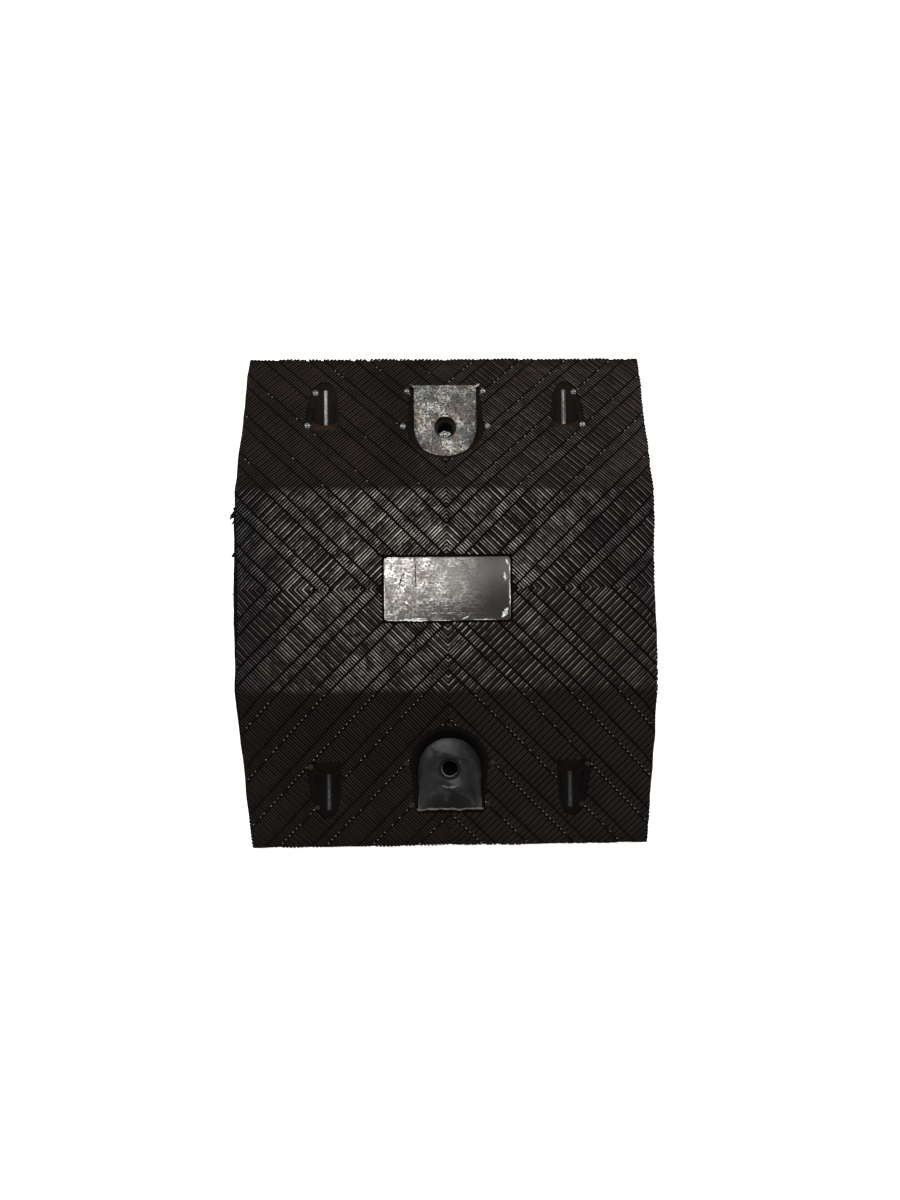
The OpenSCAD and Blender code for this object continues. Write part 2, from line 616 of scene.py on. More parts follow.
class Effects:
    """Shader node groups that more than one finish uses, each built once."""

    def __init__(self, plan: Layout, rib_h: float) -> None:
        """Builds the groups.

        Args:
            plan: The module's layout.
            rib_h: Height of the tread's ribs.
        """
        self.crest = self._crest(plan, rib_h)
        self.blotches = self._blotches()
        self.scratches = self._scratches()

    @staticmethod
    def _start(name: str, inputs: dict[str, float], outputs: tuple[str, ...]) -> Shader:
        """Makes an empty group with float sockets.

        Args:
            name: The group's name.
            inputs: Names and first values of its inputs.
            outputs: Names of its outputs.

        Returns:
            The builder of the group's tree.
        """
        tree = bpy.data.node_groups.new(name, "ShaderNodeTree")
        shader = Shader(tree)
        for label, value in inputs.items():
            socket = tree.interface.new_socket(label, in_out="INPUT", socket_type="NodeSocketFloat")
            socket.default_value = value
        for label in outputs:
            tree.interface.new_socket(label, in_out="OUTPUT", socket_type="NodeSocketFloat")
        return shader

    def _crest(self, plan: Layout, rib_h: float) -> bpy.types.NodeTree:
        """Masks the ribs' flanks, their very tops, the ramps and all that lies deeper.

        Args:
            plan: The module's layout.
            rib_h: Height of the ribs.

        Returns:
            The group's tree.
        """
        limits = {"Crest": (0.60, 0.22), "Peak": (0.24, 0.02), "Below": (1.04, 1.2), "Deep": (1.3, 1.8)}
        shader = self._start("crest", {}, (*limits, "Ramp"))
        from_middle = shader.math("ABSOLUTE", shader.axis("Y"))
        from_end = shader.math("SUBTRACT", plan.half_l, from_middle)
        surface = shader.math("MINIMUM", shader.scaled(from_end, plan.ramp_rate, plan.edge_z), plan.top_z)
        depth = shader.math("SUBTRACT", surface, shader.axis("Z"))
        masks = {name: shader.ramp(depth, rib_h * low, rib_h * high) for name, (low, high) in limits.items()}
        masks["Ramp"] = shader.ramp(from_middle, plan.crease_y - 3 * MM, plan.crease_y + 5 * MM)
        shader.fill(shader.add("NodeGroupOutput"), masks)
        return shader.tree

    def _blotches(self) -> bpy.types.NodeTree:
        """Makes patches of two sizes, for dust, stains and mottling.

        Returns:
            The group's tree.
        """
        inputs = {"Scale": 40.0, "Seed": 0.0, "Low": 0.4, "High": 0.7}
        shader = self._start("blotches", inputs, ("Mask", "Fine"))
        source = shader.add("NodeGroupInput").outputs
        coarse = shader.noise(source["Scale"], 4.0, source["Seed"])
        fine = shader.noise(shader.times(source["Scale"], 4.3), 3.0, source["Seed"])
        both = shader.scaled(fine, 0.35, shader.times(coarse, 0.65))
        mask = shader.ramp(both, source["Low"], source["High"])
        shader.fill(shader.add("NodeGroupOutput"), {"Mask": mask, "Fine": fine})
        return shader.tree

    def _scratches(self) -> bpy.types.NodeTree:
        """Makes thin streaks in two directions.

        Returns:
            The group's tree.
        """
        shader = self._start("scratches", {"Density": 0.6}, ("Mask",))
        source = shader.add("NodeGroupInput").outputs
        limit = shader.math("SUBTRACT", 0.78, shader.times(source["Density"], 0.16))
        streaks = []
        for turn, seed in ((0.95, 3.0), (1.35, 7.0)):
            streak = shader.noise(1.0, 2.0, seed, shader.stretched((110.0, 1500.0, 110.0), turn))
            streaks.append(shader.math("GREATER_THAN", streak, limit))
        shader.fill(shader.add("NodeGroupOutput"), {"Mask": shader.math("MAXIMUM", *streaks)})
        return shader.tree


# ---------------------------------------------------------------- finishes


@dataclass(frozen=True)
class Finish:
    """A look that becomes one material."""

    name: str

    def build(self, effects: Effects) -> bpy.types.Material:
        """Makes the material.

        Args:
            effects: The shared node groups.

        Returns:
            The material.
        """
        material = bpy.data.materials.new(self.name)
        material.use_nodes = True
        shader = Shader(material.node_tree)
        principled = shader.add("ShaderNodeBsdfPrincipled")
        shader.fill(shader.add("ShaderNodeOutputMaterial"), {"Surface": principled.outputs[0]})
        shader.fill(principled, self.inputs(shader, effects))
        return material

    def inputs(self, shader: Shader, effects: Effects) -> dict[str, Value]:
        """Works out what goes into the Principled node.

        Args:
            shader: The material's builder.
            effects: The shared node groups.

        Returns:
            A value or a socket for each input that matters.
        """
        raise NotImplementedError


@dataclass(frozen=True)
class RubberFinish(Finish):
    """Black recycled rubber: dusty brown on the ramps; near black deep in the grooves, which is painted
    shade; pale and shiny on the flat top's crests, which is wear with a painted highlight; orange-brown on
    the scoops' end walls, which is dust with painted warm light.
    """

    scoop: Scoop
    plan: Layout
    # groove: near black, painted shade deep between the ribs; crest: the ribs' own dark rubber.
    groove: Colour = (0.0014, 0.0012, 0.0012)
    crest: Colour = (0.0068, 0.0053, 0.0048)
    # Pale crest colour: wear with a painted highlight.
    rubbed_sheen: Colour = (0.37, 0.333, 0.283)
    dust: Colour = (0.024, 0.0170, 0.0138)
    # Orange-brown of the scoops' end walls: dust with painted warm light.
    amber_dust_and_light: Colour = (0.026, 0.0155, 0.009)
    grain_depth: float = 0.10 * MM
    # Middle of the painted highlight on the flat top's crests.
    highlight_spot: Point = (-30 * MM, 48 * MM, 50 * MM)

    def inputs(self, shader: Shader, effects: Effects) -> dict[str, Value]:
        """Works out the inputs; see the base class."""
        masks = shader.group(effects.crest)
        crest, peak, ramp = masks["Crest"], masks["Peak"], masks["Ramp"]
        wear = shader.group(effects.blotches, scale=24.0, seed=2.0, low=0.40, high=0.62)["Mask"]
        dirt = shader.group(effects.blotches, scale=17.0, seed=9.0, low=0.36, high=0.70)
        flecks = shader.group(effects.blotches, scale=110.0, seed=5.0, low=0.36, high=0.60)["Mask"]
        # The flat top, plus the right half of the rear ramp, whose crests get painted highlight.
        worn_and_lit = shader.math("MAXIMUM", shader.math("SUBTRACT", 1.0, ramp), self._sunny_side(shader))
        # The colour darkens from the crest colour to near black with depth: painted shade between the ribs.
        colour = shader.mix(crest, self.groove, self.crest)
        # The pale crests are part wear, part painted highlight of the lights.
        sheen_polish = shader.times(shader.times(peak, worn_and_lit), flecks)
        sheen_rubbing = shader.times(shader.scaled(wear, 0.55, 0.30), self._highlight_pool(shader))
        colour = shader.mix(shader.times(sheen_polish, sheen_rubbing), colour, self.rubbed_sheen)
        rear_ramp = shader.ramp(shader.axis("Y"), 90 * MM, 110 * MM)
        dusty = shader.scaled(rear_ramp, 0.45, shader.scaled(ramp, 0.22, 0.08))
        dusty = shader.times(shader.scaled(dirt["Mask"], 0.7, 0.3), dusty)
        dusty = shader.times(shader.scaled(crest, 0.75, 0.25), dusty)
        colour = shader.mix(dusty, colour, self.dust)
        smooth, wall = self._scoop_masks(shader, masks["Below"], masks["Deep"])
        smooth = shader.times(smooth, shader.scaled(flecks, 0.35, 0.65))
        # The end walls turn orange-brown: dust with painted warm light, stronger where they face the lights.
        stain = shader.times(wall, shader.scaled(dirt["Fine"], 0.9, 0.1))
        gloss = shader.times(peak, shader.scaled(worn_and_lit, 0.85, 0.15))
        gloss = shader.times(gloss, shader.scaled(flecks, 0.6, 0.3))
        gloss = shader.math("MAXIMUM", gloss, shader.times(smooth, 1.45))
        grain = shader.times(shader.noise(700.0, 3.0, 4.0), shader.scaled(smooth, -0.8, 1.0))
        return {
            "Base Color": shader.mix(stain, colour, self.amber_dust_and_light),
            "Roughness": shader.scaled(gloss, -0.34, 0.64),
            "Specular IOR Level": shader.scaled(gloss, 0.52, 0.025),
            "Normal": shader.bump(grain, self.grain_depth),
        }

    def _highlight_pool(self, shader: Shader) -> Socket:
        """Masks a broad patch left of the middle where the crests get the most painted highlight; it fades
        outwards and stops short of the left edge.

        Args:
            shader: The material's builder.

        Returns:
            The mask.
        """
        node = shader.add("ShaderNodeVectorMath", operation="DISTANCE")
        shader.fill(node, {0: shader.place(), 1: self.highlight_spot})
        light_fade = shader.ramp(node.outputs["Value"], 230 * MM, 30 * MM)
        inward = shader.ramp(shader.axis("X"), -195 * MM, -145 * MM)
        return shader.times(inward, shader.scaled(light_fade, 0.85, 0.15))

    @staticmethod
    def _sunny_side(shader: Shader) -> Socket:
        """Masks the right half of the rear ramp, whose crests get a little painted highlight too.

        Args:
            shader: The material's builder.

        Returns:
            The mask.
        """
        right = shader.ramp(shader.axis("X"), -60 * MM, 110 * MM)
        rear = shader.ramp(shader.axis("Y"), 60 * MM, 120 * MM)
        return shader.times(shader.times(right, rear), 0.60)

    def _scoop_masks(self, shader: Shader, below: Socket, deep: Socket) -> tuple[Socket, Socket]:
        """Finds the scoops' smooth troughs and their sloping end walls.

        Args:
            shader: The material's builder.
            below: Mask of what lies below the grooves.
            deep: Mask of what lies well below them.

        Returns:
            A mask of the troughs and one of the end walls, stronger on the walls that face the lights, where
            warm light is painted.
        """
        scoop, edge = self.scoop, 1 * MM
        wall_y, tip_y = scoop.wall_y(self.plan), scoop.tip_y(self.plan)
        distance = shader.math("SUBTRACT", shader.math("ABSOLUTE", shader.axis("X")), scoop.x)
        distance = shader.math("ABSOLUTE", distance)
        from_middle = shader.math("ABSOLUTE", shader.axis("Y"))
        along_axis = shader.ramp(distance, 2.3 * MM, 1.3 * MM)
        outside = shader.ramp(from_middle, wall_y - edge, wall_y)
        before_tip = shader.ramp(from_middle, tip_y + 3 * MM, tip_y)
        trough = shader.times(shader.times(along_axis, outside), before_tip)
        beside = shader.ramp(distance, scoop.radius + edge, scoop.radius)
        here = shader.times(beside, shader.ramp(from_middle, wall_y - 18 * MM, wall_y - 16 * MM))
        wall = shader.times(shader.times(here, deep), shader.math("SUBTRACT", 1.0, outside))
        # Painted light: stronger on the rear end walls, which face the lights.
        lit = shader.ramp(shader.axis("Y"), -0.4, 0.25)
        return shader.times(trough, below), shader.times(wall, lit)


@dataclass(frozen=True)
class SmearFinish(Finish):
    """One plain colour with paler, duller smears."""

    colour: Colour
    rough: float
    shine: float = 1.0

    def inputs(self, shader: Shader, effects: Effects) -> dict[str, Value]:
        """Works out the inputs; see the base class."""
        smears = shader.group(effects.blotches, scale=240.0, seed=8.0, low=0.40, high=0.65)["Mask"]
        pale = tuple(part * 3.0 for part in self.colour)
        return {
            "Base Color": shader.mix(smears, self.colour, pale),
            "Roughness": shader.scaled(smears, 0.15, self.rough),
            "Specular IOR Level": self.shine,
        }


@dataclass(frozen=True)
class PlateFinish(Finish):
    """Steel with wear: dark metal with pale scuffed patches, brown stains and scratches; towards one side it
    turns to a plain unlit tone, the painted dark reflection of a side that catches no light.
    """

    dark: Colour
    pale: Colour
    stain: Colour
    tint: Colour
    unlit_tone: Colour
    blotch_scale: float
    seed: float
    light_fade: tuple[str, float, float]
    dent_depth: float = 0.55 * MM
    stain_amount: float = 1.5
    rough: float = 0.36

    def inputs(self, shader: Shader, effects: Effects) -> dict[str, Value]:
        """Works out the inputs; see the base class."""
        scale, seed, blotches = self.blotch_scale, self.seed, effects.blotches
        specks = shader.group(blotches, scale=scale * 4.2, seed=seed, low=0.41, high=0.61)
        patches = shader.group(blotches, scale=scale * 0.7, seed=seed + 2.0, low=0.44, high=0.58)["Mask"]
        stains = shader.group(blotches, scale=scale * 0.45, seed=seed + 5.0, low=0.50, high=0.68)["Mask"]
        cast = shader.group(blotches, scale=scale * 0.8, seed=seed + 7.0, low=0.44, high=0.64)["Mask"]
        lines = shader.group(effects.scratches, density=0.75)["Mask"]
        # Painted reflection: full colour where the light reflects, the plain unlit tone elsewhere.
        axis, low, high = self.light_fade
        lit_share = shader.ramp(shader.axis(axis), low, high)
        bright = shader.times(specks["Mask"], shader.scaled(patches, 0.82, 0.18))
        colour = shader.mix(bright, self.dark, self.pale)
        colour = shader.mix(shader.times(cast, 0.7), colour, self.tint)
        stained = shader.times(shader.times(stains, self.stain_amount), specks["Fine"])
        colour = shader.mix(stained, colour, self.stain)
        colour = shader.mix(shader.times(lines, 0.85), colour, self.pale)
        rough = shader.scaled(stains, 0.14, self.rough)
        height = shader.scaled(lines, -0.3, specks["Fine"])
        height = shader.times(height, shader.scaled(lit_share, 0.9, 0.1))
        return {
            "Base Color": shader.mix(lit_share, self.unlit_tone, colour),
            "Metallic": shader.scaled(stained, -0.5, 0.95),
            "Roughness": shader.scaled(specks["Fine"], -0.10, rough),
            "Normal": shader.bump(height, self.dent_depth),
        }


@dataclass(frozen=True)
class SleeveFinish(Finish):
    """Turned steel, bright at the rim, with dirt patches and painted shade darkening it down the bore."""

    steel: Colour = (0.42, 0.41, 0.39)
    # Near black, for the dirt patches and for the painted shade down the bore.
    dirt: Colour = (0.0020, 0.0018, 0.0018)

    def inputs(self, shader: Shader, effects: Effects) -> dict[str, Value]:
        """Works out the inputs; see the base class."""
        dirt = shader.group(effects.blotches, scale=150.0, seed=1.0, low=0.22, high=0.40)
        # Painted shade: dark below the rim, down the bore.
        down = shader.ramp(shader.axis("Z"), 13.2 * MM, 11 * MM)
        dirt_and_shade = shader.math("MAXIMUM", shader.times(dirt["Mask"], 0.99), down)
        return {
            "Base Color": shader.mix(dirt_and_shade, self.steel, self.dirt),
            "Metallic": shader.math("SUBTRACT", 1.0, dirt_and_shade),
            "Roughness": shader.scaled(dirt_and_shade, 0.45, 0.30),
            "Specular IOR Level": 0.10,
            "Normal": shader.bump(dirt["Fine"], 0.15 * MM),
        }


@dataclass(frozen=True)
class FloorFinish(Finish):
    """Plain pale light table."""

    colour: Colour = (0.93, 0.93, 0.93)
    glow: float = 0.40

    def inputs(self, shader: Shader, effects: Effects) -> dict[str, Value]:
        """Works out the inputs; see the base class."""
        darker = tuple(part * 0.985 for part in self.colour)
        return {
            "Base Color": shader.mix(shader.noise(3.0, 2.0), self.colour, darker),
            "Roughness": 0.9,
            "Emission Color": (1.0, 1.0, 1.0, 1.0),
            "Emission Strength": self.glow,
        }


class Materials:
    """Every material of the module, each built once."""

    def __init__(self, plan: Layout, scoop: Scoop, effects: Effects) -> None:
        """Builds the materials.

        Args:
            plan: The module's layout.
            scoop: Sizes of the scoops.
            effects: The shared node groups.
        """
        self.rubber = RubberFinish("rubber", scoop, plan).build(effects)
        self.glossy = SmearFinish("smooth_rubber", (0.020, 0.020, 0.022), 0.20).build(effects)
        # Pale finish of the ramps' tiny domes: painted glints.
        self.pale = SmearFinish("glint_pale_rubber", (0.050, 0.045, 0.038), 0.32).build(effects)
        self.bright = SmearFinish("bared_metal", (0.20, 0.20, 0.185), 0.35).build(effects)
        self.grime = SmearFinish("grime", (0.006, 0.005, 0.004), 0.8, 0.1).build(effects)
        self.scuffed = SmearFinish("scuffed", (0.020, 0.018, 0.015), 0.45, 0.6).build(effects)
        self.sleeve = SleeveFinish("sleeve_steel").build(effects)
        # The plates' colour changes along Y: the front plate takes the plain unlit tone, painted as the dark
        # reflection it shows.
        self.plate = PlateFinish(
            "worn_plate",
            dark=(0.020, 0.019, 0.018),
            pale=(0.52, 0.485, 0.42),
            stain=(0.105, 0.062, 0.030),
            tint=(0.058, 0.074, 0.094),
            unlit_tone=(0.029, 0.029, 0.029),
            blotch_scale=120.0,
            seed=3.0,
            light_fade=("Y", -10 * MM, 10 * MM),
        ).build(effects)
        # The panel's colour goes from left to right into the plain unlit tone: painted reflection, bright
        # where the light reflects.
        self.panel = PlateFinish(
            "worn_panel",
            dark=(0.085, 0.079, 0.072),
            pale=(0.88, 0.85, 0.80),
            stain=(0.12, 0.070, 0.032),
            tint=(0.13, 0.128, 0.122),
            unlit_tone=(0.062, 0.058, 0.054),
            blotch_scale=105.0,
            seed=6.0,
            light_fade=("X", 50 * MM, -70 * MM),
            dent_depth=0.30 * MM,
        ).build(effects)


# ---------------------------------------------------------------- rubber body


def seat_solid(
    name: str, plan: Layout, end: int, low_z: float, high_z: float, lean: float, inset: float = 0.0
) -> Piece:
    """Makes a D-shaped solid over one bolt seat.

    Args:
        name: Name of the object.
        plan: The module's layout.
        end: 1 for the rear seat, -1 for the front one.
        low_z: Height of its underside.
        high_z: Height of its top.
        lean: How far its walls lean out for each metre of height.
        inset: How far its outline lies inside the seat's.

    Returns:
        The solid.
    """
    radius = plan.seat_r - inset
    bm = tongue(96, radius, plan.seat_edge_y - inset - plan.bolt_y)
    top = extrude_all(bm, (0.0, 0.0, high_z - low_z))
    growth = 1.0 + lean * (high_z - low_z) / radius
    for vert in top:
        vert.co.x *= growth
        if vert.co.y < 0.0:
            vert.co.y *= growth
    bmesh.ops.translate(bm, verts=bm.verts[:], vec=(0.0, plan.bolt_y, low_z))
    bmesh.ops.scale(bm, verts=bm.verts[:], vec=(1.0, end, 1.0))
    return add_object(name, bm)


@dataclass(frozen=True)
class RubberShell:
    """The rubber moulding up to the floor of its grooves, with every recess cut in it."""

    plan: Layout
    scoop: Scoop
    rib_h: float
    panel_gap: float = 1.2 * MM
    panel_corner_r: float = 4 * MM
    over: float = 1 * MM
    slice_step: float = 7 * MM
    edge_r: float = 0.7 * MM
    sharp: float = 11.0

    def build(self) -> Piece:
        """Builds the shell.

        Returns:
            The finished object.
        """
        shell = self._blank()
        cutters = [self._panel_cutter()]
        for end in (-1, 1):
            cutters += self._seat_cutters(end)
            for side in (-1, 1):
                cutters += self._scoop_cutters(side, end)
        cut_away(shell, cutters)
        self._roughen_outline(shell)
        soften(shell, self.edge_r, self.sharp)
        return shell

    def _roughen_outline(self, shell: Piece) -> None:
        """Makes the shell's sides and ends slightly uneven.

        Args:
            shell: The shell.
        """
        outline = Outline(self.plan)
        bm = bmesh.new()
        bm.from_mesh(shell.data)
        for vert in bm.verts:
            outline.move(vert)
        bm.to_mesh(shell.data)
        bm.free()

    def _blank(self) -> Piece:
        """Makes the side view at groove level and carries it across the width.

        Returns:
            The uncut body, sliced so that its outline can be made uneven.
        """
        plan, drop = self.plan, self.rib_h
        rear = (
            (plan.half_l, 0.0),
            (plan.half_l, plan.edge_z - drop),
            (plan.crease_y, plan.top_z - drop),
        )
        front = [(-y, z) for y, z in reversed(rear)]
        bm = bmesh.new()
        bm.faces.new([bm.verts.new((-plan.half_w, y, z)) for y, z in (front[-1], *rear, *front[:-1])])
        extrude_all(bm, (2 * plan.half_w, 0.0, 0.0))
        for axis, reach in ((0, plan.half_w), (1, plan.half_l)):
            normal = Vector(ORIGIN)
            normal[axis] = 1.0
            count = round(2 * reach / self.slice_step)
            for index in range(1, count):
                slice_at(bm, normal * (-reach + 2 * reach * index / count), normal)
        return add_object("rubber_shell", bm)

    def _panel_cutter(self) -> Piece:
        """Makes the recess of the centre panel.

        Returns:
            The solid to cut away.
        """
        plan, gap = self.plan, self.panel_gap
        size = (2 * (plan.panel_half_len + gap), 2 * (plan.panel_half_w + gap))
        top = plan.top_z + self.over
        return rounded_block("panel_cutter", size, plan.panel_bottom_z, top, self.panel_corner_r + gap)

    def _seat_cutters(self, end: int) -> list[Piece]:
        """Makes the leaning hollow over a seat, the plate's recess and the sleeve's bore.

        Args:
            end: 1 for the rear seat, -1 for the front one.

        Returns:
            The solids to cut away.
        """
        plan, over = self.plan, self.over
        height = plan.plate_bottom_z + 2 * over
        middle = (0.0, end * plan.bolt_y, height / 2 - over)
        return [
            seat_solid("seat_hollow", plan, end, plan.seat_z, plan.top_z + over, plan.wall_lean),
            seat_solid("plate_recess", plan, end, plan.plate_bottom_z, plan.seat_z + over, 0.0),
            cylinder("sleeve_bore", plan.sleeve_r, height, middle),
        ]

    def _scoop_cutters(self, side: int, end: int) -> list[Piece]:
        """Makes a round-bottomed trough with a sloping end wall, and the slit in that wall.

        Args:
            side: Sign of X.
            end: Sign of Y.

        Returns:
            The solids to cut away.
        """
        plan, scoop = self.plan, self.scoop
        wall_y, foot_z = scoop.wall_y(plan), scoop.floor_z(plan)
        axis_z = foot_z + scoop.radius
        trough = tongue(48, scoop.radius, plan.top_z)
        bmesh.ops.rotate(trough, verts=trough.verts[:], matrix=Matrix.Rotation(math.pi / 2, 3, "X"))
        bmesh.ops.translate(trough, verts=trough.verts[:], vec=(0.0, wall_y, axis_z))
        extrude_all(trough, (0.0, scoop.floor + scoop.tip, 0.0))
        for vert in trough.verts:
            if vert.co.y < wall_y + TINY:
                vert.co.y -= (vert.co.z - foot_z) / math.tan(scoop.slope)
        bmesh.ops.translate(trough, verts=trough.verts[:], vec=(scoop.x, 0.0, 0.0))
        slit = bmesh.new()
        slit_y = wall_y - scoop.radius / 2 - scoop.slit_depth / 2 + self.over
        shape = Matrix.Diagonal((scoop.slit_len, scoop.slit_depth, scoop.slit_h, 1.0))
        spot = Matrix.Translation((scoop.x, slit_y, axis_z - scoop.radius / 2))
        bmesh.ops.create_cube(slit, size=1.0, matrix=spot @ shape)
        for mesh in (trough, slit):
            bmesh.ops.scale(mesh, verts=mesh.verts[:], vec=(side, end, 1.0))
        return [add_object("scoop_cutter", trough), add_object("slit_cutter", slit)]


# ---------------------------------------------------------------- tread


@dataclass(frozen=True)
class Ribs:
    """How the ribs of one band look."""

    pitch: float
    width: float
    offsets: tuple[float, ...]
    chamfer: float
    bed: float = 0.0
    second: float = 1.0


class RibStyle(Enum):
    """The rib patterns of the bands: single, in pairs, or in pairs on a broad low bed."""

    FINE = Ribs(2.65 * MM, 1.28 * MM, (0.0,), 0.40 * MM)
    PAIRED = Ribs(5.3 * MM, 1.45 * MM, (-1.30 * MM, 1.20 * MM), 0.42 * MM, 0.0, 0.87)
    BROAD = Ribs(5.3 * MM, 1.45 * MM, (-1.30 * MM, 1.20 * MM), 0.42 * MM, 4.1 * MM, 0.82)


@dataclass(frozen=True)
class Tread:
    """The ribs between the V-shaped grooves, over all four quarters of the top."""

    plan: Layout
    scoop: Scoop
    rib_h: float
    band_pitch: float = 46.6 * MM
    fine_band: float = 15 * MM
    groove: float = 0.95 * MM
    sink: float = 0.4 * MM
    panel_rim: float = 1.6 * MM
    seat_rim: float = 1.8 * MM
    seat_end: float = 3.0 * MM
    shortest: float = 2.2 * MM
    step: float = 1.0 * MM
    bed_share: float = 0.62
    uneven: float = 0.13
    pip_r: float = 0.72 * MM
    pip_sink: float = 0.35 * MM
    pip_end: float = 3 * MM
    pip_side: float = 4 * MM
    # Share of places in each quarter that get a dome, and with it a painted glint.
    pip_shares: tuple[tuple[int, int, float], ...] = (
        (-1, -1, 0.72),
        (1, -1, 0.78),
        (1, 1, 0.30),
        (-1, 1, 0.12),
    )

    def build(self) -> list[Piece]:
        """Builds one object of ribs for each quarter."""
        return [self._quarter(side, end) for side in (-1, 1) for end in (-1, 1)]

    def _lines(self) -> list[float]:
        """Lists the middles of the fine bands, measured along X or Y.

        Returns:
            The middles, for every band that can touch a quarter.
        """
        reach = math.ceil((self.plan.half_w + self.plan.half_l) / self.band_pitch)
        return [(line + 0.5) * self.band_pitch for line in range(-reach, reach)]

    def _quarter(self, side: int, end: int) -> Piece:
        """Builds the ribs of one quarter.

        Args:
            side: Sign of X.
            end: Sign of Y.

        Returns:
            The quarter's ribs.
        """
        whole = bmesh.new()
        broad = (side, end) == (1, -1)
        styles = (RibStyle.BROAD, RibStyle.BROAD) if broad else (RibStyle.FINE, RibStyle.PAIRED)
        for middle in self._lines():
            fine = (middle - self.fine_band / 2, middle + self.fine_band / 2)
            wide = (fine[1], fine[0] + self.band_pitch)
            for (low, high), style in zip((fine, wide), styles):
                band = self._band(low * HALF_SQRT, high * HALF_SQRT, style.value, (side, end))
                if band is not None:
                    join_in(whole, band)
        outline = Outline(self.plan)
        for vert in whole.verts:
            vert.co.z += self.plan.surface_z(vert.co.y) - self.rib_h
            outline.move(vert)
        bmesh.ops.scale(whole, verts=whole.verts[:], vec=(side, end, 1.0))
        label = "left" if side < 0 else "right"
        return add_object(f"tread_{label}_{end_name(end)}", whole, 50.0)

    def _band(self, low: float, high: float, ribs: Ribs, quarter: tuple[int, int]) -> Mesh | None:
        """Builds the ribs of one band in the quarter where X and Y are positive.

        Args:
            low: Where the band starts, across its own direction.
            high: Where it ends.
            ribs: The pattern of its ribs.
            quarter: Signs of X and Y, which only seed the small differences.

        Returns:
            The ribs on a flat ground, or None where the band misses the quarter.
        """
        plan = self.plan
        bm = bmesh.new()
        farthest = (plan.half_w + plan.half_l) * HALF_SQRT
        nearest = min(abs(low), abs(high)) if low * high > 0 else 0.0
        start, stop = low + self.groove, high - self.groove
        crowns: list[Edge] = []
        second = min(1.0, ribs.second * (1.0 + 0.12 * hash01(low * 71, quarter[0] + 5 * quarter[1])))
        for place in range(int(nearest / ribs.pitch) - 1, int(farthest / ribs.pitch) + 2):
            middle = (place + 0.5) * ribs.pitch
            if ribs.bed:
                for span in self._free_spans(start, stop, middle, ribs.bed):
                    self._bar(bm, span, middle, ribs.bed, self.rib_h * self.bed_share)
            for rank, shift in enumerate(ribs.offsets):
                along = middle + shift
                share = second if rank else 1.0
                for span in self._free_spans(start, stop, along, ribs.width):
                    lot = hash01(span[0] * 997, along * 613, quarter[0] + 3 * quarter[1])
                    height = self.rib_h * share * (1.0 - self.uneven * lot)
                    crowns += self._bar(bm, span, along, ribs.width, height)
        if not bm.verts:
            bm.free()
            return None
        round_edges(bm, crowns, ribs.chamfer, 2)
        for axis, limit in ((0, plan.half_w), (1, plan.half_l)):
            outward = Vector(ORIGIN)
            outward[axis] = 1.0
            clip(bm, ORIGIN, -outward)
            clip(bm, outward * limit, outward)
        slice_at(bm, (0.0, plan.crease_y, 0.0), (0.0, 1.0, 0.0))
        return bm

    def _bar(
        self, bm: Mesh, span: tuple[float, float], along: float, width: float, height: float
    ) -> list[Edge]:
        """Adds one bar to a band.

        Args:
            bm: The band's mesh.
            span: Where the bar starts and stops, across the band.
            along: Its place along the band.
            width: Its width.
            height: Its height above the groove floor.

        Returns:
            The four edges round its top.
        """
        middle = (span[0] + span[1]) / 2
        spot = Vector(((along - middle) * HALF_SQRT, (along + middle) * HALF_SQRT, (height - self.sink) / 2))
        shape = Matrix.Diagonal((span[1] - span[0], width, height + self.sink, 1.0))
        turn = Matrix.Rotation(math.radians(135), 4, "Z")
        cube = bmesh.ops.create_cube(bm, size=1.0, matrix=Matrix.Translation(spot) @ turn @ shape)
        edges = {edge for vert in cube["verts"] for edge in vert.link_edges}
        return [edge for edge in edges if all(vert.co.z > height / 2 for vert in edge.verts)]

    def _free_spans(self, start: float, stop: float, along: float, width: float) -> list[tuple[float, float]]:
        """Finds the stretches of a rib that lie on open tread.

        Args:
            start: Where the rib starts, across the band.
            stop: Where it stops.
            along: Its place along the band.
            width: Its width.

        Returns:
            Start and stop of each stretch that is long enough to keep.
        """
        count = max(2, int((stop - start) / self.step))
        spans: list[tuple[float, float]] = []
        opened: float | None = None
        for mark in (start + (stop - start) * index / count for index in range(count + 1)):
            free = self._is_open(mark, along, width)
            if free and opened is None:
                opened = mark
            if not free and opened is not None:
                spans.append((opened, mark - self.step))
                opened = None
        if opened is not None:
            spans.append((opened, stop))
        return [span for span in spans if span[1] - span[0] > self.shortest]

